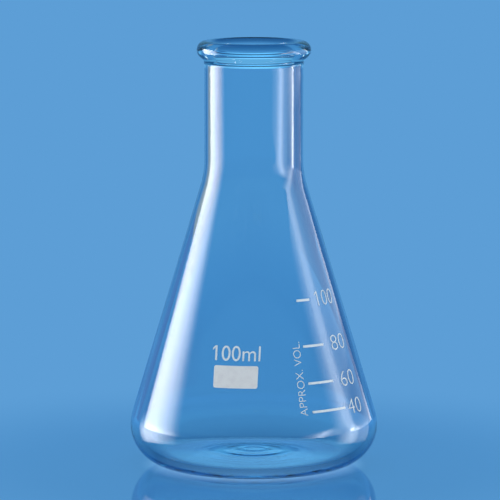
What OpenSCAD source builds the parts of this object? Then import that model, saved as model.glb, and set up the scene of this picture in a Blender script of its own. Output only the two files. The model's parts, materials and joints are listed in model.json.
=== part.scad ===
// Erlenmeyer flask, 100 ml, narrow neck: one blown glass body with fired-on white enamel print.
// The flask stands on z = 0 with its axis on Z, and its print faces -Y.

/* [Body] */
// Outside diameter across the heel, the widest place
body_d = 64; // [56:0.5:80]
// Height from the resting ring to the top of the rim
flask_h = 110; // [100:0.5:140]
// Outside radius of the heel, between the resting ring and the cone
heel_r = 10.6; // [9:0.1:13]
// Outside radius of the shoulder, where the cone sweeps into the neck
shoulder_r = 24; // [8:0.5:40]

/* [Neck] */
// Outside diameter of the neck
neck_d = 25.5; // [22:0.1:27]
// Length from the top of the rim to where the straight neck would meet the straight cone
neck_len = 34; // [28:0.5:40]

/* [Rim] */
// How far the bead stands out from the neck
bead_out = 1.95; // [1:0.05:2.6]
// Radius of the bead
bead_r = 2.35; // [1.8:0.05:2.8]
// Radius of the hollow under the bead
hollow_r = 2.5; // [1.5:0.1:6]
// Radius of the rounded inner edge of the mouth
lip_r = 1.6; // [0.8:0.1:2.5]

/* [Glass] */
// Thickness of the neck, shoulder and cone wall
wall = 2; // [1.5:0.1:2.6]
// Thickness of the base
base_t = 2.4; // [1.8:0.1:4]
// Width of the flat resting ring, between the heel and the push-up
ring_w = 2.4; // [1:0.1:8]
// Height of the push-up
push_up_h = 1.6; // [0.6:0.1:3]

/* [Print] */
// Thickness of the fired enamel
enamel_t = 0.08; // [0.04:0.01:0.15]
// Volume of each graduation line
graduation_ml = [100, 80, 60, 40]; // [10:5:120]
// Height of each graduation line above the table
graduation_z = [45.4, 34.1, 25, 18]; // [16:0.1:60]
// Length of each graduation line round the cone
graduation_len = [4, 6.5, 8, 11]; // [2:0.5:16]
// Thickness of the graduation lines
line_w = 0.6; // [0.3:0.05:1.2]
// Turn from the front to where the graduation lines start
graduation_turn = 29.3; // [15:0.1:60]
// Width of the marking spot
spot_w = 11.3; // [6:0.1:16]
// Height of the marking spot, along the slope of the cone
spot_h = 5.7; // [3:0.1:9]
// Corner radius of the marking spot
spot_corner_r = 0.5; // [0.2:0.1:1.4]
// Height of the middle of the marking spot above the table
spot_z = 27.1; // [22:0.1:40]
// Turn from the front to the middle of the marking spot
spot_turn = -9.8; // [-60:0.1:10]

/* [Smoothness] */
// Turn of one step along the rounded stretches of the glass
arc_step = 4; // [2:1:9]
// Turn of one step round the corners of the marking spot
corner_step = 15; // [5:5:45]

/* [Hidden] */
body_r = body_d / 2;
neck_r = neck_d / 2;
bore_r = neck_r - wall;

// The heel's arc, and the corner where the straight neck would meet the straight cone
heel_c = [body_r - heel_r, heel_r];
corner_z = flask_h - neck_len;
heel_reach = heel_c - [neck_r, corner_z];

// The cone's side runs from that corner to where it just touches the heel
cone_a = atan(heel_reach.x / -heel_reach.y) + asin(heel_r / norm(heel_reach));
cone_out = [cos(cone_a), sin(cone_a)];
cone_up = [-sin(cone_a), cos(cone_a)];

// The shoulder's arc touches the neck and the cone, and the inner wall follows it
shoulder_c = [neck_r + shoulder_r, corner_z + shoulder_r * tan(cone_a / 2)];

// The inner heel's arc touches the floor and the inner side of the cone
inner_heel_r = heel_r - base_t;
inner_heel_c = [heel_c.x + (base_t - wall) / cos(cone_a), heel_c.y];

// The rim: bead, the hollow under it, and the rounded inner edge
bead_c = [neck_r + bead_out - bead_r, flask_h - bead_r];
mouth_r = min(lip_r, bead_c.x - bore_r);
mouth_c = [bore_r + mouth_r, flask_h - mouth_r];
hollow_x = neck_r + hollow_r;
hollow_drop = sqrt(pow(bead_r + hollow_r, 2) - pow(hollow_x - bead_c.x, 2));
hollow_c = [hollow_x, bead_c.y - hollow_drop];
under_bead_a = atan2(-hollow_drop, hollow_x - bead_c.x);

// The push-up is an S of two equal arcs, from the axis down to the resting ring
push_up_r = heel_c.x - ring_w;
swell_r = (pow(push_up_r, 2) + pow(push_up_h, 2)) / (4 * push_up_h);
swell_a = asin(push_up_r / (2 * swell_r));
crown_c = [0, push_up_h - swell_r];
roll_c = [push_up_r, swell_r];

// The print faces -Y, and turns count from there towards +X
front_a = -90;
// A cutter reaches this far past what it trims
spare = 1;
// Even a short arc has this many steps
least_steps = 4;
$fn = 180;

// Points round an arc of an outline
function arc(centre, radius, from, to, step = arc_step) =
    let (steps = max(least_steps, ceil(abs(to - from) / step)))
    [
        for (i = [0:steps])
            let (a = from + (to - from) * i / steps)
            centre + radius * [cos(a), sin(a)]
    ];

// Radius of the cone's outer side at a height
function cone_r(z) = neck_r + (corner_z - z) * tan(cone_a);

// Half section of the glass: up the outside from the axis, over the rim and down the inside
function glass_outline() = concat(
    arc(crown_c, swell_r, 90, 90 - swell_a),
    arc(roll_c, swell_r, 270 - swell_a, 270),
    arc(heel_c, heel_r, -90, cone_a),
    arc(shoulder_c, shoulder_r, 180 + cone_a, 180),
    arc(hollow_c, hollow_r, 180, 180 + under_bead_a),
    arc(bead_c, bead_r, under_bead_a, 90),
    arc(mouth_c, mouth_r, 90, 180),
    arc(shoulder_c, shoulder_r + wall, 180, 180 + cone_a),
    arc(inner_heel_c, inner_heel_r, cone_a, -90),
    arc(roll_c, swell_r - base_t, 270, 270 - swell_a),
    arc(crown_c, swell_r + base_t, 90 - swell_a, 90)
);

module flask_body() {
    color("lightblue", 0.4)
        rotate_extrude()
            polygon(glass_outline());
}

// Section of a band of enamel on the cone, with its width along the slope
module enamel_section(z, width) {
    middle = [cone_r(z), z];
    polygon([
        middle - cone_up * width / 2,
        middle - cone_up * width / 2 + cone_out * enamel_t,
        middle + cone_up * width / 2 + cone_out * enamel_t,
        middle + cone_up * width / 2
    ]);
}

module rounded_plate(width, height, radius) {
    x = width / 2 - radius;
    y = height / 2 - radius;
    polygon(concat(
        arc([x, y], radius, 0, 90, corner_step),
        arc([-x, y], radius, 90, 180, corner_step),
        arc([-x, -y], radius, 180, 270, corner_step),
        arc([x, -y], radius, 270, 360, corner_step)
    ));
}

// The white patch that takes a pencil
module marking_spot() {
    color("whitesmoke")
        intersection() {
            rotate_extrude()
                enamel_section(spot_z, spot_h + spare);
            rotate([0, 0, spot_turn])
                translate([0, 0, spot_z])
                    rotate([90, 0, 0])
                        linear_extrude(body_r + spare)
                            rounded_plate(spot_w, spot_h * cos(cone_a), spot_corner_r);
        }
}

// A ring of enamel, cut to the length of one line
module graduation_line(z, length) {
    turn = length / cone_r(z) * 180 / PI;
    color("white")
        intersection() {
            rotate_extrude()
                enamel_section(z, line_w);
            rotate_extrude(angle = turn, start = front_a + graduation_turn)
                square([body_r + spare, z + spare]);
        }
}

flask_body();
marking_spot();
for (i = [0:len(graduation_ml) - 1])
    graduation_line(graduation_z[i], graduation_len[i]);
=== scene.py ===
import json
import math

import bmesh
import bpy
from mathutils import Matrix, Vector


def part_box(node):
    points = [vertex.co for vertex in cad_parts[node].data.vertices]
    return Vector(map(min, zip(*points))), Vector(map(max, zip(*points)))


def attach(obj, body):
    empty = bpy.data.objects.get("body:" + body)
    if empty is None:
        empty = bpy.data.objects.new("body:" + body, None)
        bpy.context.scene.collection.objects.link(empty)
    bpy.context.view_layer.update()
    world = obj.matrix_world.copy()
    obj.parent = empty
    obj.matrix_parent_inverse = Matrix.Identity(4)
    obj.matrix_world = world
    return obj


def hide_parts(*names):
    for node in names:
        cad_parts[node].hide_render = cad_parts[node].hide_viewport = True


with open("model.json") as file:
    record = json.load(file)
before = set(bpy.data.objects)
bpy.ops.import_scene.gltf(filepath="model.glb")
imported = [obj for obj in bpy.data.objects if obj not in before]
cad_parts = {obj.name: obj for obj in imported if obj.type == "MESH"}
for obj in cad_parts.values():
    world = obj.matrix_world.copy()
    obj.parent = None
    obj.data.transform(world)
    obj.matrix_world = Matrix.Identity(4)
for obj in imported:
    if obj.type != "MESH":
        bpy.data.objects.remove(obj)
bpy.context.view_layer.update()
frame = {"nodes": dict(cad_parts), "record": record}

MM = 0.001

# Sizes that the frame gives: the outside of the flask, its bore and its neck
MOUNTS = {mount["name"]: mount for mount in frame["record"]["mounts"]}
BODY_R = min(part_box("flask_body")[1].x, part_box("flask_body")[1].y)
FLASK_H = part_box("flask_body")[1].z
BORE_R = MOUNTS["neck_bore"]["dims"]["r_mm"] * MM
NECK_R = MOUNTS["neck_clamp_zone"]["dims"]["r_mm"] * MM
WALL = NECK_R - BORE_R

# Curves of the glass, as in the part
HEEL_R = 10.6 * MM
SHOULDER_R = 24 * MM
NECK_LEN = 34 * MM
BEAD_OUT = 1.95 * MM
BEAD_R = 2.35 * MM
HOLLOW_R = 2.5 * MM
LIP_R = 1.6 * MM
BASE_T = 2.4 * MM
RING_W = 2.4 * MM
PUSH_UP_H = 1.6 * MM

# The cone's side runs from the corner under the neck to where it touches the heel
CORNER_Z = FLASK_H - NECK_LEN
HEEL_C = (BODY_R - HEEL_R, HEEL_R)
HEEL_REACH = (HEEL_C[0] - NECK_R, CORNER_Z - HEEL_C[1])
CONE_A = math.atan(HEEL_REACH[0] / HEEL_REACH[1]) + math.asin(HEEL_R / math.hypot(*HEEL_REACH))
PUSH_UP_R = HEEL_C[0] - RING_W

# Faint rings that blowing leaves in the base
RIPPLE_H = 0.03 * MM
RIPPLE_STEP = 4.6 * MM
RIPPLE_TOP = 5 * MM
RIPPLE_FADE = 4

# How finely the glass is turned: degrees of one step on each curve, and the longest straight piece
BASE_STEP = 0.35
SHOULDER_STEP = 1.0
HEEL_STEP = 3.0
RIM_STEP = 5.0
LEAST_STEPS = 6
LONGEST_PIECE = 1.5 * MM
OUTLINE_GAP = 0.001 * MM
SEAM_GAP = 0.0001 * MM
TURNED_SEGMENTS = 192

# The print, with its turns counted in degrees from the front to the right
ENAMEL_T = 0.08 * MM
FILM_GAP = 0.001 * MM
FILM_CUTS = 2
CURVE_CUTS = 5
NUMERAL_H = 3.9 * MM
FIGURE_W = 3.0 * MM
ONE_W = 1.3 * MM
NUMERAL_END = 64.0
NUMERAL_WEIGHT = -0.02
CAPACITY_H = 3.9 * MM
CAPACITY_W = 12.3 * MM
CAPACITY_TURN = -10.0
CAPACITY_Z = 32.85 * MM
NOTE_H = 2.05 * MM
NOTE_W = 18.9 * MM
NOTE_TURN = 24.8
NOTE_Z = 26.3 * MM
NOTE_WEIGHT = -0.014

# The figure one, in the typeface's own units: its bar's reach, and its flag's reach and drop
ONE_REACH = 0.15
FLAG_REACH = 0.13
FLAG_DROP = 0.12


def cone_r(z):
    """Radius of the cone's outer side at a height."""
    return NECK_R + (CORNER_Z - z) * math.tan(CONE_A)


# Node helpers
def fill(tree, socket, value):
    """Links another node's output to a socket, or sets the socket to a plain value."""
    if isinstance(value, bpy.types.NodeSocket):
        tree.links.new(value, socket)
    else:
        socket.default_value = value


def add(tree, kind, inputs=None, **settings):
    """Adds a node, sets its properties, and fills its inputs with values or other nodes' outputs."""
    node = tree.nodes.new(kind)
    for name, value in settings.items():
        setattr(node, name, value)
    for name, value in (inputs or {}).items():
        fill(tree, node.inputs[name], value)
    return node


def math_node(tree, operation, *values):
    """The result of one sum on values or other nodes' outputs."""
    node = add(tree, "ShaderNodeMath", operation=operation)
    for socket, value in zip(node.inputs, values):
        fill(tree, socket, value)
    return node.outputs[0]


def new_tree(name, kind, inputs, outputs):
    """A node tree with named inputs and outputs; returns it with its two end nodes."""
    tree = bpy.data.node_groups.new(name, kind)
    for label, socket_type in inputs:
        tree.interface.new_socket(label, in_out="INPUT", socket_type=socket_type)
    for label, socket_type in outputs:
        tree.interface.new_socket(label, in_out="OUTPUT", socket_type=socket_type)
    return tree, tree.nodes.new("NodeGroupInput"), tree.nodes.new("NodeGroupOutput")


def set_stops(ramp, stops):
    """Gives a colour ramp its stops, as (place, colour) in rising order."""
    elements = ramp.color_ramp.elements
    while len(elements) < len(stops):
        elements.new(1.0)
    for element, (place, colour) in zip(elements, stops):
        element.position = place
        element.color = colour


def mixed(tree, share, first, second):
    """The first shader where the share is 0, and the second where it is 1."""
    return add(tree, "ShaderNodeMixShader", {0: share, 1: first, 2: second}).outputs["Shader"]


def linear(red, green, blue):
    """A colour given as it shows on screen, 0 to 255, as a linear RGBA."""
    def channel(value):
        share = value / 255
        return share / 12.92 if share <= 0.04045 else ((share + 0.055) / 1.055) ** 2.4
    return (channel(red), channel(green), channel(blue), 1.0)


def new_material(name):
    """An empty material; returns it with its tree and output node."""
    material = bpy.data.materials.new(name)
    material.use_nodes = True
    tree = material.node_tree
    tree.nodes.clear()
    return material, tree, tree.nodes.new("ShaderNodeOutputMaterial")


# Enamel: how the film thins and where its pinholes end
FILM_DETAIL = 4.0
PORES_PER_GRAIN = 5.0
PINHOLE_EDGE = (0.05, 0.3)
THIN_FILM = (0.3, 0.55)
THIN_COVER = 0.35
ENAMEL_RELIEF = 0.05 * MM
ENAMEL_BUMP = 0.25


def grain_group():
    """Screen-printed, fired enamel: an uneven film with small pinholes."""
    tree, start, end = new_tree(
        "enamel_grain",
        "ShaderNodeTree",
        [("Film", "NodeSocketColor"), ("Thin", "NodeSocketColor"), ("Grain", "NodeSocketFloat")],
        [("Colour", "NodeSocketColor"), ("Height", "NodeSocketFloat")],
    )
    place = add(tree, "ShaderNodeTexCoord").outputs["Object"]
    grain = start.outputs["Grain"]
    film = add(tree, "ShaderNodeTexNoise", {"Vector": place, "Scale": grain, "Detail": FILM_DETAIL})
    fine = math_node(tree, "MULTIPLY", grain, PORES_PER_GRAIN)
    pores = add(tree, "ShaderNodeTexVoronoi", {"Vector": place, "Scale": fine})
    pinholes = add(
        tree,
        "ShaderNodeMapRange",
        {"Value": pores.outputs["Distance"], "From Min": PINHOLE_EDGE[0], "From Max": PINHOLE_EDGE[1]},
    )
    cover = add(
        tree,
        "ShaderNodeMapRange",
        {
            "Value": film.outputs["Fac"],
            "From Min": THIN_FILM[0],
            "From Max": THIN_FILM[1],
            "To Min": THIN_COVER,
        },
    )
    closed = math_node(tree, "MULTIPLY", cover.outputs["Result"], pinholes.outputs["Result"])
    colour = add(
        tree,
        "ShaderNodeMix",
        {"Factor": closed, "A": start.outputs["Thin"], "B": start.outputs["Film"]},
        data_type="RGBA",
    )
    tree.links.new(colour.outputs["Result"], end.inputs["Colour"])
    tree.links.new(closed, end.inputs["Height"])
    return tree


def enamel_material(name, group, film, thin, grain, roughness):
    """White enamel with its own colour where it is full and thin, and its own grain and gloss."""
    material, tree, output = new_material(name)
    skin = add(tree, "ShaderNodeGroup", {"Film": film, "Thin": thin, "Grain": grain}, node_tree=group)
    bump = add(
        tree,
        "ShaderNodeBump",
        {"Height": skin.outputs["Height"], "Strength": ENAMEL_BUMP, "Distance": ENAMEL_RELIEF},
    )
    surface = add(
        tree,
        "ShaderNodeBsdfPrincipled",
        {"Base Color": skin.outputs["Colour"], "Roughness": roughness, "Normal": bump.outputs["Normal"]},
    )
    tree.links.new(surface.outputs["BSDF"], output.inputs["Surface"])
    return material


# Glass, tinted at its skin and with depth, and drawn out along its height
GLASS_TINT = (0.875, 0.955, 0.98, 1.0)
GLASS_IOR = 1.473
DEPTH_TINT = (0.2, 0.67, 0.83, 1.0)
DEPTH_DENSITY = 80.0
DRAWN_OUT = (1.0, 1.0, 0.25)
DRAWN_SCALE = 90.0
DRAWN_RELIEF = 0.15 * MM
DRAWN_BUMP = 0.2


def glass_material():
    """Clear borosilicate with the faint drawn ripple of blown glass."""
    material, tree, output = new_material("borosilicate_glass")
    place = add(tree, "ShaderNodeTexCoord").outputs["Object"]
    drawn = add(tree, "ShaderNodeMapping", {"Vector": place, "Scale": DRAWN_OUT})
    waves = add(
        tree,
        "ShaderNodeTexNoise",
        {"Vector": drawn.outputs["Vector"], "Scale": DRAWN_SCALE, "Detail": 1.0},
    )
    bump = add(
        tree,
        "ShaderNodeBump",
        {"Height": waves.outputs["Fac"], "Strength": DRAWN_BUMP, "Distance": DRAWN_RELIEF},
    )
    surface = add(
        tree,
        "ShaderNodeBsdfPrincipled",
        {
            "Base Color": GLASS_TINT,
            "Roughness": 0.0,
            "IOR": GLASS_IOR,
            "Transmission Weight": 1.0,
            "Normal": bump.outputs["Normal"],
        },
    )
    depth = add(tree, "ShaderNodeVolumeAbsorption", {"Color": DEPTH_TINT, "Density": DEPTH_DENSITY})
    tree.links.new(surface.outputs["BSDF"], output.inputs["Surface"])
    tree.links.new(depth.outputs["Volume"], output.inputs["Volume"])
    return material


def arc(centre, radius, start, end, step):
    """Points round an arc of an outline, in turns of about one step."""
    steps = max(LEAST_STEPS, math.ceil(abs(end - start) / step))
    turns = [math.radians(start + (end - start) * i / steps) for i in range(steps + 1)]
    return [(centre[0] + radius * math.cos(turn), centre[1] + radius * math.sin(turn)) for turn in turns]


def ripple(r):
    """Height of the faint rings at a radius of the base."""
    fade = max(0.0, 1.0 - (r / PUSH_UP_R) ** RIPPLE_FADE)
    return RIPPLE_H * fade * math.cos(math.tau * r / RIPPLE_STEP)


def filled_in(points, longest):
    """The same outline with its straight stretches cut into short pieces."""
    out = [points[0]]
    for (r, z), (next_r, next_z) in zip(points, points[1:]):
        pieces = math.ceil(math.dist((r, z), (next_r, next_z)) / longest)
        for i in range(1, pieces + 1):
            out.append((r + (next_r - r) * i / pieces, z + (next_z - z) * i / pieces))
    return out


def glass_outline():
    """Half section of the glass: up the outside from the axis, over the rim and down the inside."""
    cone = math.degrees(CONE_A)
    shoulder_c = (NECK_R + SHOULDER_R, CORNER_Z + SHOULDER_R * math.tan(CONE_A / 2))
    inner_heel_c = (HEEL_C[0] + (BASE_T - WALL) / math.cos(CONE_A), HEEL_C[1])
    bead_c = (NECK_R + BEAD_OUT - BEAD_R, FLASK_H - BEAD_R)
    mouth_c = (BORE_R + LIP_R, FLASK_H - LIP_R)
    hollow_x = NECK_R + HOLLOW_R
    hollow_drop = math.sqrt((BEAD_R + HOLLOW_R) ** 2 - (hollow_x - bead_c[0]) ** 2)
    hollow_c = (hollow_x, bead_c[1] - hollow_drop)
    under_bead = math.degrees(math.atan2(-hollow_drop, hollow_x - bead_c[0]))
    swell_r = (PUSH_UP_R ** 2 + PUSH_UP_H ** 2) / (4 * PUSH_UP_H)
    swell = math.degrees(math.asin(PUSH_UP_R / (2 * swell_r)))
    crown_c = (0.0, PUSH_UP_H - swell_r)
    roll_c = (PUSH_UP_R, swell_r)
    arcs = [
        arc(crown_c, swell_r, 90, 90 - swell, BASE_STEP),
        arc(roll_c, swell_r, 270 - swell, 270, BASE_STEP),
        arc(HEEL_C, HEEL_R, -90, cone, HEEL_STEP),
        arc(shoulder_c, SHOULDER_R, 180 + cone, 180, SHOULDER_STEP),
        arc(hollow_c, HOLLOW_R, 180, 180 + under_bead, RIM_STEP),
        arc(bead_c, BEAD_R, under_bead, 90, RIM_STEP),
        arc(mouth_c, LIP_R, 90, 180, RIM_STEP),
        arc(shoulder_c, SHOULDER_R + WALL, 180, 180 + cone, SHOULDER_STEP),
        arc(inner_heel_c, HEEL_R - BASE_T, cone, -90, HEEL_STEP),
        arc(roll_c, swell_r - BASE_T, 270, 270 - swell, BASE_STEP),
        arc(crown_c, swell_r + BASE_T, 90 - swell, 90, BASE_STEP),
    ]
    points = []
    for stretch in arcs:
        if points and math.dist(points[-1], stretch[0]) < OUTLINE_GAP:
            stretch = stretch[1:]
        points += stretch
    rippled = [(r, z + ripple(r) if z < RIPPLE_TOP else z) for r, z in points]
    return filled_in(rippled, LONGEST_PIECE)


def finish_tree(tree, end, geometry, material):
    """Ends a tree with real geometry that wears its material."""
    real = add(tree, "GeometryNodeRealizeInstances", {"Geometry": geometry})
    dressed = add(
        tree,
        "GeometryNodeSetMaterial",
        {"Geometry": real.outputs["Geometry"], "Material": material},
    )
    tree.links.new(dressed.outputs["Geometry"], end.inputs[0])


def lathe_tree():
    """Turns an outline of (radius, 0, height) points round the Z axis."""
    tree, start, end = new_tree(
        "lathe",
        "GeometryNodeTree",
        [
            ("Outline", "NodeSocketGeometry"),
            ("Segments", "NodeSocketInt"),
            ("Seam Gap", "NodeSocketFloat"),
            ("Material", "NodeSocketMaterial"),
        ],
        [("Turned", "NodeSocketGeometry")],
    )
    segments = start.outputs["Segments"]
    size = add(tree, "GeometryNodeAttributeDomainSize", {"Geometry": start.outputs["Outline"]})
    rows = size.outputs["Point Count"]
    columns = math_node(tree, "ADD", segments, 1.0)
    grid = add(tree, "GeometryNodeMeshGrid", {"Vertices X": columns, "Vertices Y": rows})

    # The grid counts up its columns, and half a step keeps the division clear of whole numbers
    index = add(tree, "GeometryNodeInputIndex").outputs["Index"]
    row = math_node(tree, "FLOORED_MODULO", index, rows)
    half_past = math_node(tree, "ADD", index, 0.5)
    column = math_node(tree, "FLOOR", math_node(tree, "DIVIDE", half_past, rows))
    outline = add(
        tree,
        "GeometryNodeSampleIndex",
        {
            "Geometry": start.outputs["Outline"],
            "Value": add(tree, "GeometryNodeInputPosition").outputs["Position"],
            "Index": row,
        },
        data_type="FLOAT_VECTOR",
    )
    turn = math_node(tree, "MULTIPLY", math_node(tree, "DIVIDE", column, segments), math.tau)
    turned = add(
        tree,
        "ShaderNodeVectorRotate",
        {"Vector": outline.outputs["Value"], "Angle": turn},
        rotation_type="Z_AXIS",
    )
    placed = add(
        tree,
        "GeometryNodeSetPosition",
        {"Geometry": grid.outputs["Mesh"], "Position": turned.outputs["Vector"]},
    )
    closed = add(
        tree,
        "GeometryNodeMergeByDistance",
        {"Geometry": placed.outputs["Geometry"], "Distance": start.outputs["Seam Gap"]},
    )
    smooth = add(tree, "GeometryNodeSetShadeSmooth", {"Geometry": closed.outputs["Geometry"]})
    finish_tree(tree, end, smooth.outputs["Geometry"], start.outputs["Material"])
    return tree


def grown(name, mesh, tree, settings):
    """Runs a tree on a mesh and returns the result as a plain mesh piece."""
    seed = bpy.data.objects.new(name + "_seed", mesh)
    bpy.context.scene.collection.objects.link(seed)
    modifier = seed.modifiers.new("grow", "NODES")
    modifier.node_group = tree
    sockets = {item.name: item.identifier for item in tree.interface.items_tree if item.in_out == "INPUT"}
    for label, value in settings.items():
        modifier[sockets[label]] = value
    seen = seed.evaluated_get(bpy.context.evaluated_depsgraph_get())
    made = bpy.data.meshes.new_from_object(seen)
    made.name = name
    bpy.data.objects.remove(seed)
    piece = bpy.data.objects.new(name, made)
    bpy.context.scene.collection.objects.link(piece)
    return piece


def build_glass(material):
    """The vessel, turned in one piece."""
    points = glass_outline()
    line = bpy.data.meshes.new("glass_outline")
    line.from_pydata([(r, 0.0, z) for r, z in points], [(i, i + 1) for i in range(len(points) - 1)], [])
    settings = {"Segments": TURNED_SEGMENTS, "Seam Gap": SEAM_GAP, "Material": material}
    glass = grown("glass", line, lathe_tree(), settings)
    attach(glass, "root")
    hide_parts("flask_body")


# The print
def film_of(tree, lettering, thickness, gap):
    """A closed film of one thickness over flat lettering."""
    triangles = add(tree, "GeometryNodeTriangulate", {"Mesh": lettering})
    fine = add(tree, "GeometryNodeSubdivideMesh", {"Mesh": triangles.outputs["Mesh"], "Level": FILM_CUTS})
    back = add(tree, "GeometryNodeFlipFaces", {"Mesh": fine.outputs["Mesh"]})
    raised = add(
        tree,
        "GeometryNodeExtrudeMesh",
        {
            "Mesh": fine.outputs["Mesh"],
            "Offset": (0.0, 0.0, 1.0),
            "Offset Scale": thickness,
            "Individual": False,
        },
    )
    both = add(tree, "GeometryNodeJoinGeometry")
    tree.links.new(raised.outputs["Mesh"], both.inputs["Geometry"])
    tree.links.new(back.outputs["Mesh"], both.inputs["Geometry"])
    closed = add(
        tree,
        "GeometryNodeMergeByDistance",
        {"Geometry": both.outputs["Geometry"], "Distance": gap},
    )
    return closed.outputs["Geometry"]


def cone_print_tree():
    """Lays flat lettering on the cone: X runs round it, Y runs up its slope."""
    tree, start, end = new_tree(
        "print_on_cone",
        "GeometryNodeTree",
        [
            ("Lettering", "NodeSocketGeometry"),
            ("Turn", "NodeSocketFloat"),
            ("Height", "NodeSocketFloat"),
            ("Radius", "NodeSocketFloat"),
            ("Cone Angle", "NodeSocketFloat"),
            ("Thickness", "NodeSocketFloat"),
            ("Film Gap", "NodeSocketFloat"),
            ("Material", "NodeSocketMaterial"),
        ],
        [("Print", "NodeSocketGeometry")],
    )
    given = start.outputs
    film = film_of(tree, given["Lettering"], given["Thickness"], given["Film Gap"])
    position = add(tree, "GeometryNodeInputPosition").outputs["Position"]
    flat = add(tree, "ShaderNodeSeparateXYZ", {"Vector": position}).outputs
    sine = math_node(tree, "SINE", given["Cone Angle"])
    cosine = math_node(tree, "COSINE", given["Cone Angle"])
    inwards = math_node(tree, "MULTIPLY", flat["Y"], sine)
    skin = math_node(tree, "SUBTRACT", given["Radius"], inwards)
    radius = math_node(tree, "ADD", skin, math_node(tree, "MULTIPLY", flat["Z"], cosine))
    rise = math_node(tree, "MULTIPLY", flat["Y"], cosine)
    lift = math_node(tree, "MULTIPLY", flat["Z"], sine)
    z = math_node(tree, "ADD", math_node(tree, "ADD", given["Height"], rise), lift)
    turn = math_node(tree, "ADD", given["Turn"], math_node(tree, "DIVIDE", flat["X"], skin))
    x = math_node(tree, "MULTIPLY", radius, math_node(tree, "SINE", turn))
    forwards = math_node(tree, "MULTIPLY", radius, math_node(tree, "COSINE", turn))
    y = math_node(tree, "MULTIPLY", forwards, -1.0)
    place = add(tree, "ShaderNodeCombineXYZ", {"X": x, "Y": y, "Z": z})
    laid = add(tree, "GeometryNodeSetPosition", {"Geometry": film, "Position": place.outputs["Vector"]})
    finish_tree(tree, end, laid.outputs["Geometry"], given["Material"])
    return tree


def with_flag(mesh):
    """Gives the plain bar of a leading figure one its slanting flag."""
    shape = bmesh.new()
    shape.from_mesh(mesh)
    left = min(v.co.x for v in shape.verts)
    bar = [v for v in shape.verts if v.co.x < left + ONE_REACH]
    right = max(v.co.x for v in bar)
    foot = min(v.co.y for v in bar)
    top = max(v.co.y for v in bar)
    stroke = right - left
    bmesh.ops.delete(shape, geom=bar, context="VERTS")
    outline = [
        (left, foot),
        (right, foot),
        (right, top),
        (left, top),
        (left - FLAG_REACH, top - FLAG_DROP),
        (left - FLAG_REACH, top - FLAG_DROP - stroke),
        (left, top - stroke),
    ]
    shape.faces.new([shape.verts.new((x, y, 0.0)) for x, y in outline])
    shape.to_mesh(mesh)
    shape.free()


def lettering_mesh(words, cap_height, width, weight, on_end):
    """Words as a flat mesh of a given letter height and width, centred, and perhaps turned on end."""
    font = bpy.data.curves.new("lettering", "FONT")
    font.body = words
    font.offset = weight
    font.resolution_u = CURVE_CUTS
    text = bpy.data.objects.new("lettering", font)
    bpy.context.scene.collection.objects.link(text)
    mesh = bpy.data.meshes.new_from_object(text.evaluated_get(bpy.context.evaluated_depsgraph_get()))
    bpy.data.objects.remove(text)
    if words.startswith("1"):
        with_flag(mesh)
    left = min(v.co.x for v in mesh.vertices)
    right = max(v.co.x for v in mesh.vertices)
    foot = min(v.co.y for v in mesh.vertices)
    top = max(v.co.y for v in mesh.vertices)
    for v in mesh.vertices:
        x = (v.co.x - (right + left) / 2) * (width / (right - left))
        y = (v.co.y - (top + foot) / 2) * (cap_height / (top - foot))
        v.co = (-y, x, 0.0) if on_end else (x, y, 0.0)
    return mesh


def dress(node, material):
    """Gives a CAD node its material."""
    node.data.materials.clear()
    node.data.materials.append(material)


def build_print(material, spot_material):
    """The lettering, laid on the cone, and the finish of the lines and the marking spot."""
    tree = cone_print_tree()

    def lay(name, words, cap_height, width, turn, z, weight=0.0, on_end=False):
        flat = lettering_mesh(words, cap_height, width, weight, on_end)
        settings = {
            "Turn": math.radians(turn),
            "Height": z,
            "Radius": cone_r(z),
            "Cone Angle": CONE_A,
            "Thickness": ENAMEL_T,
            "Film Gap": FILM_GAP,
            "Material": material,
        }
        piece = grown(name, flat, tree, settings)
        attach(piece, "root")

    for name, node in frame["nodes"].items():
        if name.startswith("graduation_"):
            low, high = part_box(name)
            z = (low.z + high.z) / 2
            volume = name.removeprefix("graduation_")
            width = sum(ONE_W if figure == "1" else FIGURE_W for figure in volume)
            turn = NUMERAL_END - math.degrees(width / 2 / cone_r(z))
            lay("numeral_" + volume, volume, NUMERAL_H, width, turn, z, NUMERAL_WEIGHT)
            dress(node, material)
    dress(frame["nodes"]["marking_spot"], spot_material)

    lay("capacity_mark", "100ml", CAPACITY_H, CAPACITY_W, CAPACITY_TURN, CAPACITY_Z)
    lay("volume_note", "APPROX. VOL.", NOTE_H, NOTE_W, NOTE_TURN, NOTE_Z, NOTE_WEIGHT, on_end=True)


# Light and background
WHITE = (1.0, 1.0, 1.0, 1.0)
ROOM_LIGHT = (0.82, 0.93, 1.0, 1.0)
BACKDROP = linear(93, 158, 214)
BRIGHT_WALL = linear(112, 184, 232)
CEILING = linear(18, 36, 105)
# What the camera, gloss and glass see of the room, from level to straight up
ROOM_STOPS = [(0.12, BACKDROP), (0.22, BRIGHT_WALL), (0.42, BRIGHT_WALL), (0.6, CEILING)]


def seen_directly(tree):
    """1 for rays from the camera, off gloss or through glass that have met no matt surface."""
    path = add(tree, "ShaderNodeLightPath").outputs
    shown = math_node(tree, "MAXIMUM", path["Is Camera Ray"], path["Is Glossy Ray"])
    shown = math_node(tree, "MAXIMUM", shown, path["Is Transmission Ray"])
    return math_node(tree, "MULTIPLY", shown, math_node(tree, "LESS_THAN", path["Diffuse Depth"], 0.5))


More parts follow.
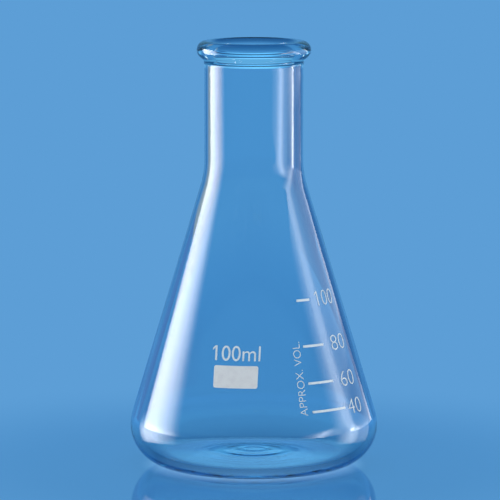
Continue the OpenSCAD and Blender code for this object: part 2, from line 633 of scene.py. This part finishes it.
def build_world():
    """Cool light from all round; to glass and gloss, the plain background under a dark ceiling."""
    world = bpy.data.worlds.new("studio")
    bpy.context.scene.world = world
    world.use_nodes = True
    tree = world.node_tree
    tree.nodes.clear()
    light = add(tree, "ShaderNodeBackground", {"Color": ROOM_LIGHT, "Strength": 1.0})
    look = add(tree, "ShaderNodeTexCoord").outputs["Generated"]
    upwards = add(tree, "ShaderNodeSeparateXYZ", {"Vector": look}).outputs["Z"]
    colour = add(tree, "ShaderNodeValToRGB", {"Fac": upwards})
    set_stops(colour, ROOM_STOPS)
    room = add(tree, "ShaderNodeBackground", {"Color": colour.outputs["Color"]})
    shown = mixed(tree, seen_directly(tree), light.outputs["Background"], room.outputs["Background"])
    add(tree, "ShaderNodeOutputWorld", {"Surface": shown})


# Floor
# The table is darker than the background it fades into away from the flask: partly the table's own tone,
# partly a painted soft shade round the flask
TABLE = linear(52, 110, 165)
# Share of the table's colour that shows of itself, since a clear flask lets light through
SELF_LIT = 0.6
# A painted pool of light on the floor under the base, and the radii between which it fades
PAINTED_LIGHT_POOL = linear(104, 148, 190)
PAINTED_LIGHT_POOL_R = (21 * MM, 30 * MM)
TABLE_ROUGHNESS = 0.03
TABLE_IOR = 1.45
# Where the table runs out into the background, as the camera sees it and as glass and gloss do
FADE_TO_CAMERA = (0.05, 0.13)
FADE_TO_GLASS = (0.25, 0.6)
FLOOR_GAP = 0.05 * MM
FLOOR_REACH = 3.0
# Corners of a panel in its own UV
SQUARE = [(0, 0), (1, 0), (1, 1), (0, 1)]


def panel(name, corners, material):
    """A flat four-cornered stage piece, with UV running from its first corner."""
    mesh = bpy.data.meshes.new(name)
    mesh.from_pydata(corners, [], [(0, 1, 2, 3)])
    uv = mesh.uv_layers.new(name="UVMap")
    for loop, place in zip(uv.data, SQUARE):
        loop.uv = place
    mesh.materials.append(material)
    piece = bpy.data.objects.new(name, mesh)
    bpy.context.scene.collection.objects.link(piece)
    return piece


def share_of(colour, share):
    """A darker colour of the same hue."""
    return [share * channel for channel in colour[:3]] + [1.0]


def smooth_step(tree, value, edges, ends=(0.0, 1.0)):
    """A soft change from one end value to the other, between two edges."""
    step = add(
        tree,
        "ShaderNodeMapRange",
        {"Value": value, "From Min": edges[0], "From Max": edges[1], "To Min": ends[0], "To Max": ends[1]},
        interpolation_type="SMOOTHSTEP",
    )
    return step.outputs["Result"]


def floor_material():
    """A satin table round the flask, darker than the background, that runs out into the plain background;
    the darker tone round the flask is partly the table and partly a painted soft shade, and a painted pool
    of light lies under the base.
    """
    material, tree, output = new_material("floor")
    place = add(tree, "ShaderNodeTexCoord").outputs["Object"]
    reach = add(tree, "ShaderNodeVectorMath", {0: place}, operation="LENGTH").outputs["Value"]
    # Painted pool of light: the table's own glow turns lighter under the base, fading out between two
    # radii
    painted_light_pool = smooth_step(tree, reach, PAINTED_LIGHT_POOL_R, ends=(1.0, 0.0))
    own_and_painted_pool = add(
        tree,
        "ShaderNodeMix",
        {"Factor": painted_light_pool, "A": share_of(TABLE, SELF_LIT), "B": PAINTED_LIGHT_POOL},
        data_type="RGBA",
    )
    table = add(
        tree,
        "ShaderNodeBsdfPrincipled",
        {
            "Base Color": share_of(TABLE, 1 - SELF_LIT),
            "Roughness": TABLE_ROUGHNESS,
            "IOR": TABLE_IOR,
            "Emission Color": own_and_painted_pool.outputs["Result"],
            "Emission Strength": seen_directly(tree),
        },
    )
    lit = add(tree, "ShaderNodeBsdfDiffuse", {"Color": BACKDROP})
    plain = add(tree, "ShaderNodeEmission", {"Color": BACKDROP})
    far = mixed(tree, seen_directly(tree), lit.outputs["BSDF"], plain.outputs["Emission"])
    camera = add(tree, "ShaderNodeLightPath").outputs["Is Camera Ray"]
    edges = []
    for others, direct in zip(FADE_TO_GLASS, FADE_TO_CAMERA):
        edge = add(tree, "ShaderNodeMapRange", {"Value": camera, "To Min": others, "To Max": direct})
        edges.append(edge.outputs["Result"])
    # Partly painted soft shade: the darker table shows near the flask and fades into the lighter
    # background with distance
    whole = mixed(tree, smooth_step(tree, reach, edges), table.outputs["BSDF"], far)
    tree.links.new(whole, output.inputs["Surface"])
    return material


def build_floor():
    """A wide floor, a hair under the resting ring."""
    low, high = -FLOOR_REACH, FLOOR_REACH
    corners = [(high if x else low, high if y else low, -FLOOR_GAP) for x, y in SQUARE]
    return panel("floor", corners, floor_material())


# Lamps and cards, with their distances from the flask's axis in metres
SIDE_AWAY = 0.30
FAR_SIDE_AWAY = 2 * SIDE_AWAY
HEEL_AWAY = 0.046
CARD_AWAY = 0.5
RIGHT_RIM_AWAY = 0.44
BASE_CARD_AWAY = 0.3
LOW_CARD_AWAY = 0.13
NEAR_AWAY = 0.1
SHADE_GAP = 0.005
# Kinds of ray that a stage piece can be shown to or hidden from
RAYS = ("camera", "diffuse", "glossy", "transmission", "shadow")
# Glows that several panels share, as (place, glow) stops
EVEN = [(0.0, 1.0), (1.0, 1.0)]
FADING_UP = [(0.0, 1.0), (0.6, 1.0), (1.0, 0.0)]
SOON_FADING_UP = [(0.0, 1.0), (0.25, 1.0), (1.0, 0.0)]
HEEL_GLOW = [(0.0, 0.4), (0.2, 0.8), (0.5, 1.0), (0.65, 0.8), (1.0, 0.0)]


def glow_on_panel(tree, along, upwards):
    """How much each place of a panel glows, from (place, glow) stops along its foot and up its side."""
    uv = add(tree, "ShaderNodeSeparateXYZ", {"Vector": add(tree, "ShaderNodeTexCoord").outputs["UV"]})
    glows = []
    for axis, stops in (("X", along), ("Y", upwards)):
        ramp = add(tree, "ShaderNodeValToRGB", {"Fac": uv.outputs[axis]})
        set_stops(ramp, [(where, (glow, glow, glow, 1.0)) for where, glow in stops])
        glows.append(ramp.outputs["Color"])
    return math_node(tree, "MULTIPLY", *glows)


def show_only_to(piece, kind):
    """Leaves a stage piece to be seen by one kind of ray."""
    for ray in RAYS:
        setattr(piece, "visible_" + ray, ray == kind)


def beside(x, ends, heights, lean=0.0):
    """Corners of a panel beside the flask, from its front end to its back end; its top may lean back."""
    front, back = ends
    low, high = heights
    return [(x, front, low), (x, back, low), (x, back + lean, high), (x, front + lean, high)]


def behind(away, turns, heights):
    """Corners of an upright panel behind the flask, between two turns from straight behind."""
    low, high = heights
    start, end = [(away * math.sin(turn), away * math.cos(turn)) for turn in map(math.radians, turns)]
    return [(*start, low), (*end, low), (*end, high), (*start, high)]


def lamp(name, unlit, corners, strength, along, upwards=EVEN):
    """A soft lamp that the glass mirrors; what stands behind it shows through it."""
    material, tree, output = new_material(name)
    glow = math_node(tree, "MULTIPLY", glow_on_panel(tree, along, upwards), strength)
    light = add(tree, "ShaderNodeEmission", {"Color": WHITE, "Strength": glow})
    clear = add(tree, "ShaderNodeBsdfTransparent")
    both = add(tree, "ShaderNodeAddShader", {0: light.outputs["Emission"], 1: clear.outputs["BSDF"]})
    tree.links.new(both.outputs["Shader"], output.inputs["Surface"])
    piece = panel(name, corners, material)
    show_only_to(piece, "glossy")
    piece.light_linking.receiver_collection = unlit


def card(name, corners, colour, along=EVEN, upwards=EVEN, strength=1.0, shown_to="transmission"):
    """A card that hides what stands behind it where it glows; the glass shows it, the camera doesn't."""
    material, tree, output = new_material(name)
    light = add(tree, "ShaderNodeEmission", {"Color": colour, "Strength": strength})
    clear = add(tree, "ShaderNodeBsdfTransparent")
    glow = glow_on_panel(tree, along, upwards)
    seen = mixed(tree, glow, clear.outputs["BSDF"], light.outputs["Emission"])
    tree.links.new(seen, output.inputs["Surface"])
    show_only_to(panel(name, corners, material), shown_to)


def all_but(piece):
    """A set for light linking that leaves one piece out of a lamp's light."""
    unlit = bpy.data.collections.new("not_lit_by_lamps")
    unlit.objects.link(piece)
    unlit.collection_objects[0].light_linking.link_state = "EXCLUDE"
    return unlit


def build_lamps(floor):
    """Soft lamps at both sides, which the glass mirrors and the shiny floor doesn't."""
    unlit = all_but(floor)
    lamp(
        "left_softbox",
        unlit,
        beside(-SIDE_AWAY, ends=(-0.129, 0.171), heights=(0.0, 0.20), lean=0.06),
        strength=12.2,
        along=[
            (0.0, 0.0),
            (0.1, 0.13),
            (0.22, 0.48),
            (0.33, 0.69),
            (0.42, 0.88),
            (0.6, 1.0),
            (0.73, 0.88),
            (0.82, 0.77),
            (0.95, 0.36),
            (1.0, 0.0),
        ],
        upwards=[(0.0, 0.8), (0.1, 1.0)],
    )
    lamp(
        "right_softbox",
        unlit,
        beside(SIDE_AWAY, ends=(0.012, 0.392), heights=(0.0, 0.18), lean=-0.167),
        strength=5.1,
        along=[
            (0.0, 0.0),
            (0.047, 0.1),
            (0.11, 0.36),
            (0.15, 0.6),
            (0.19, 1.0),
            (0.26, 1.0),
            (0.33, 0.36),
            (0.38, 0.27),
            (0.45, 0.22),
            (0.8, 0.25),
            (0.89, 0.5),
            (0.94, 0.5),
            (1.0, 0.0),
        ],
    )
    lamp(
        "front_softbox",
        unlit,
        beside(FAR_SIDE_AWAY, ends=(-0.747, -0.017), heights=(0.0, 0.17), lean=0.13),
        strength=8.2,
        along=[
            (0.05, 0.0),
            (0.34, 0.2),
            (0.46, 0.5),
            (0.57, 0.97),
            (0.62, 1.0),
            (0.66, 0.79),
            (0.71, 0.49),
            (0.76, 0.31),
            (0.9, 0.17),
            (1.0, 0.0),
        ],
        upwards=FADING_UP,
    )
    lamp(
        "neck_line_lamp",
        unlit,
        beside(FAR_SIDE_AWAY, ends=(0.082, 0.155), heights=(0.005, 0.058)),
        strength=9.0,
        along=[(0.0, 0.0), (0.3, 1.0), (0.8, 1.0), (1.0, 0.6)],
        upwards=[(0.0, 0.5), (0.25, 1.0), (0.8, 1.0), (1.0, 0.5)],
    )
    card(
        "neck_side_shade",
        beside(SIDE_AWAY - SHADE_GAP, ends=(0.075, 0.36), heights=(0.02, 0.072)),
        linear(56, 116, 176),
        along=[(0.0, 0.3), (0.06, 0.5), (0.7, 0.55), (0.8, 0.75), (1.0, 0.75)],
        upwards=[(0.0, 0.0), (0.4, 1.0), (0.8, 1.0), (1.0, 0.0)],
        shown_to="glossy",
    )
    lamp(
        "left_heel_softbox",
        unlit,
        beside(-HEEL_AWAY, ends=(-0.032, 0.004), heights=(0.0, 0.018)),
        strength=8.0,
        along=[(0.0, 0.0), (0.25, 0.5), (0.5, 1.0), (0.75, 0.8), (1.0, 0.0)],
        upwards=HEEL_GLOW,
    )
    lamp(
        "right_heel_softbox",
        unlit,
        beside(HEEL_AWAY, ends=(-0.028, 0.004), heights=(0.0, 0.018)),
        strength=6.0,
        along=[(0.0, 0.0), (0.15, 0.35), (0.3, 0.8), (0.4, 1.0), (0.5, 0.7), (0.62, 0.25), (1.0, 0.15)],
        upwards=HEEL_GLOW,
    )


def build_cards():
    """Cards behind the flask, which draw its outline and light its rim and base."""
    card(
        "right_shade",
        behind(CARD_AWAY, turns=(6.0, 40.0), heights=(0.0, 0.16)),
        linear(42, 95, 156),
        along=[(0.0, 0.0), (0.4, 1.0)],
        upwards=FADING_UP,
    )
    card(
        "left_shade",
        behind(CARD_AWAY, turns=(-9.0, -24.0), heights=(0.0, 0.104)),
        linear(48, 105, 165),
        along=[(0.0, 0.0), (0.3, 1.0), (0.7, 1.0), (1.0, 0.0)],
    )
    card(
        "left_far_shade",
        behind(CARD_AWAY, turns=(-24.0, -42.0), heights=(0.0, 0.104)),
        linear(84, 122, 184),
        along=[(0.0, 0.0), (0.2, 1.0), (0.85, 1.0), (1.0, 0.0)],
    )
    card(
        "left_low_shade",
        behind(LOW_CARD_AWAY, turns=(-8.0, -36.0), heights=(0.0, 0.03)),
        linear(78, 122, 182),
        along=[(0.0, 0.0), (0.6, 1.0)],
        upwards=SOON_FADING_UP,
    )
    card(
        "right_low_shade",
        behind(LOW_CARD_AWAY, turns=(8.0, 36.0), heights=(0.0, 0.03)),
        linear(46, 106, 166),
        along=[(0.0, 0.0), (0.6, 1.0)],
        upwards=SOON_FADING_UP,
    )
    card(
        "neck_shade",
        behind(NEAR_AWAY, turns=(41.0, 60.0), heights=(0.067, 0.10)),
        linear(56, 116, 176),
    )
    card(
        "neck_fill",
        behind(NEAR_AWAY, turns=(-33.0, -56.0), heights=(0.067, 0.10)),
        WHITE,
        along=[(0.0, 0.45), (0.25, 0.8), (0.5, 1.0)],
        strength=0.42,
    )
    card(
        "base_card",
        behind(BASE_CARD_AWAY, turns=(-14.0, 14.0), heights=(0.085, 0.17)),
        linear(140, 212, 255),
        along=[(0.0, 0.0), (0.25, 0.5), (0.5, 1.0), (0.65, 1.0), (0.8, 0.5), (1.0, 0.0)],
        strength=1.3,
    )
    card(
        "left_rim_lamp",
        behind(CARD_AWAY, turns=(-30.0, -39.0), heights=(0.105, 0.13)),
        WHITE,
        strength=2.0,
    )
    card(
        "right_rim_lamp",
        behind(RIGHT_RIM_AWAY, turns=(23.0, 29.0), heights=(0.105, 0.127)),
        WHITE,
        strength=2.0,
    )


# Camera, with the photograph's scale at the flask
CAMERA_AWAY = 1.0
CAMERA_TILT = math.radians(7.5)
AIM = Vector((-1.0 * MM, 0.0, FLASK_H / 2 + 0.88 * MM))
SENSOR_W = 36.0
FRAME_PIXELS = 500
PIXELS_PER_MM = 3.8743


def build_camera():
    """A long lens from the front, a little from above."""
    data = bpy.data.cameras.new("camera")
    data.sensor_width = SENSOR_W
    data.lens = PIXELS_PER_MM / MM / FRAME_PIXELS * CAMERA_AWAY * SENSOR_W
    camera = bpy.data.objects.new("camera", data)
    camera.location = AIM + CAMERA_AWAY * Vector((0.0, -math.cos(CAMERA_TILT), math.sin(CAMERA_TILT)))
    camera.rotation_euler = (math.pi / 2 - CAMERA_TILT, 0.0, 0.0)
    bpy.context.scene.collection.objects.link(camera)
    bpy.context.scene.camera = camera


# The whole, with enough bounces for light to find its way out of a double wall
LIGHT_BOUNCES = 32
scene = bpy.context.scene
scene.view_settings.view_transform = "Standard"
scene.cycles.max_bounces = LIGHT_BOUNCES
scene.cycles.transmission_bounces = LIGHT_BOUNCES
scene.cycles.glossy_bounces = LIGHT_BOUNCES

film_grain = grain_group()
line_enamel = enamel_material(
    "white_enamel",
    film_grain,
    film=linear(246, 247, 248),
    thin=linear(214, 219, 226),
    grain=900.0,
    roughness=0.35,
)
spot_enamel = enamel_material(
    "marking_enamel",
    film_grain,
    film=linear(250, 244, 240),
    thin=linear(238, 230, 228),
    grain=500.0,
    roughness=0.6,
)
build_glass(glass_material())
build_print(line_enamel, spot_enamel)
build_world()
build_lamps(build_floor())
build_cards()
build_camera()
